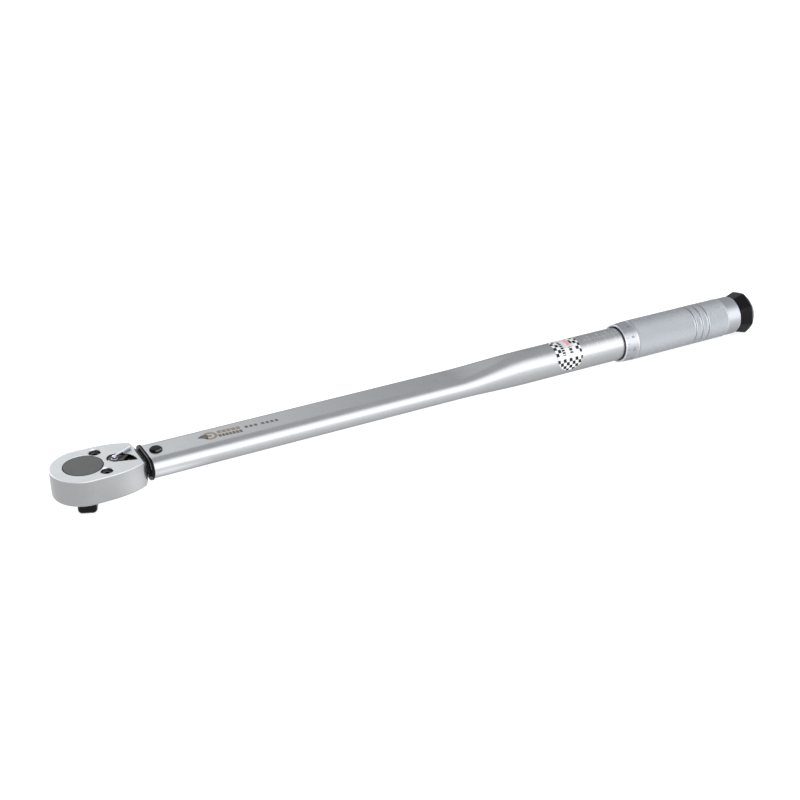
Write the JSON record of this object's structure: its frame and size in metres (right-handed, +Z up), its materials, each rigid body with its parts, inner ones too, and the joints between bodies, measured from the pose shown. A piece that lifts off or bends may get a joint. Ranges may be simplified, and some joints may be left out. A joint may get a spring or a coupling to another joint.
{
  "type": "torque wrench",
  "caption": "Click torque wrench: pear-shaped reversible ratchet head with a square drive, flat-to-round tube, turning knurled grip and end lock knob.",
  "frame": {"origin": "centre of the drive square's tip face", "axes": "+Z up the drive axis towards the lever side of the head; +X along the tube from the head to the grip"},
  "size_m": [0.589, 0.0438, 0.0424],
  "materials": {
    "head_chrome": "satin chrome plate, fine grain",
    "tube_chrome": "satin chrome plate, brushed along the tube",
    "grip_chrome": "matt chrome plate, fine diamond knurl",
    "plate_steel": "ground steel",
    "dark_steel": "dark phosphated steel, fine turned grain",
    "black_steel": "black oxide, slightly oily",
    "polished_steel": "polished",
    "spring_steel": "drawn spring wire",
    "collar_rubber": "moulded black rubber",
    "bronze": "turned bronze",
    "nylon": "natural nylon",
    "knob_plastic": "glossy black moulding",
    "label_film": "white printed film with a black chequer band"
  },
  "bodies": {
    "tube": {"outer_tube": "tube_chrome", "dust_collar": "collar_rubber", "pivot_pin": "black_steel", "pin_clip": "black_steel", "rod_guide": "bronze", "main_spring": "spring_steel", "body_nut": "bronze", "nut_pins": "plate_steel", "round_label": "label_film"},
    "head": {"head_body": "head_chrome", "cover_plate": "plate_steel", "cover_screws": "black_steel"},
    "drive": {"drive_gear": "dark_steel", "detent_spring": "spring_steel"},
    "ball": {"detent_ball": "polished_steel"},
    "pawl": {"pawl": "dark_steel"},
    "lever": {"reversing_lever": "polished_steel", "spindle_clip": "black_steel", "lever_spring": "spring_steel"},
    "plunger": {"lever_plunger": "polished_steel"},
    "rod": {"push_rod": "plate_steel"},
    "block": {"click_block": "plate_steel"},
    "seat": {"spring_seat": "plate_steel", "thrust_ball": "polished_steel"},
    "grip": {"grip_sleeve": "grip_chrome", "grip_bush": "nylon", "adjusting_screw": "plate_steel", "grip_set_screws": "black_steel"},
    "lock_rod": {"lock_rod": "plate_steel"},
    "knob": {"lock_knob": "knob_plastic", "knob_insert": "plate_steel", "knob_cap": "knob_plastic"}
  },
  "joints": [
    {"name": "click_pivot", "type": "hinge", "parent": "tube", "child": "head", "pos_m": [0.0496, 0, 0.0245], "axis": [0, 0, 1], "range_deg": [0, 3.5], "stiffness_Nm_per_rad": 20, "springref_deg": -5.73},
    {"name": "rod_thrust", "type": "slide", "parent": "tube", "child": "rod", "axis": [1, 0, 0], "range_m": [0, 0.0013], "deforming": ["main_spring"]},
    {"name": "block_tilt", "type": "hinge", "parent": "rod", "child": "block", "pos_m": [0.08405, 0, 0.0245], "axis": [0, 0, -1], "range_deg": [0, 11.6]},
    {"name": "drive_turn", "type": "hinge", "parent": "head", "child": "drive", "pos_m": [0, 0, 0], "axis": [0, 0, 1], "continuous": true},
    {"name": "ball_press", "type": "slide", "parent": "drive", "child": "ball", "axis": [0.3746, 0.9272, 0], "range_m": [-0.001, 0], "stiffness_N_per_m": 2000, "springref_m": 0.001, "deforming": ["detent_spring"]},
    {"name": "lever_turn", "type": "hinge", "parent": "head", "child": "lever", "pos_m": [0.0212, 0, 0.0245], "axis": [0, 0, 1], "range_deg": [-36, 0]},
    {"name": "pawl_rock", "type": "hinge", "parent": "head", "child": "pawl", "pos_m": [0.0212, 0, 0.0245], "axis": [0, 0, 1], "range_deg": [-11, 0]},
    {"name": "plunger_press", "type": "slide", "parent": "lever", "child": "plunger", "axis": [-0.9511, -0.309, 0], "range_m": [-0.0006, 0], "stiffness_N_per_m": 500, "springref_m": 0.001, "deforming": ["lever_spring"]},
    {"name": "grip_turn", "type": "hinge", "parent": "seat", "child": "grip", "pos_m": [0.45, 0, 0.0245], "axis": [-1, 0, 0], "range_deg": [0, 6120]},
    {"name": "seat_travel", "type": "slide", "parent": "tube", "child": "seat", "axis": [-1, 0, 0], "range_m": [0, 0.034], "deforming": ["main_spring"]},
    {"name": "knob_turn", "type": "hinge", "parent": "lock_rod", "child": "knob", "pos_m": [0.55, 0, 0.0245], "axis": [1, 0, 0], "range_deg": [0, 720]},
    {"name": "lock_travel", "type": "slide", "parent": "grip", "child": "lock_rod", "axis": [1, 0, 0], "range_m": [0, 0.0025]}
  ],
  "couplings": [
    {"joint": "rod_thrust", "follows": "click_pivot", "m_per_rad": 0.02},
    {"joint": "block_tilt", "follows": "click_pivot", "ratio": 3.3},
    {"joint": "pawl_rock", "follows": "lever_turn", "ratio": 0.30556},
    {"joint": "seat_travel", "follows": "grip_turn", "m_per_rad": 0.0003183},
    {"joint": "lock_travel", "follows": "knob_turn", "m_per_rad": 0.0001989}
  ]
}
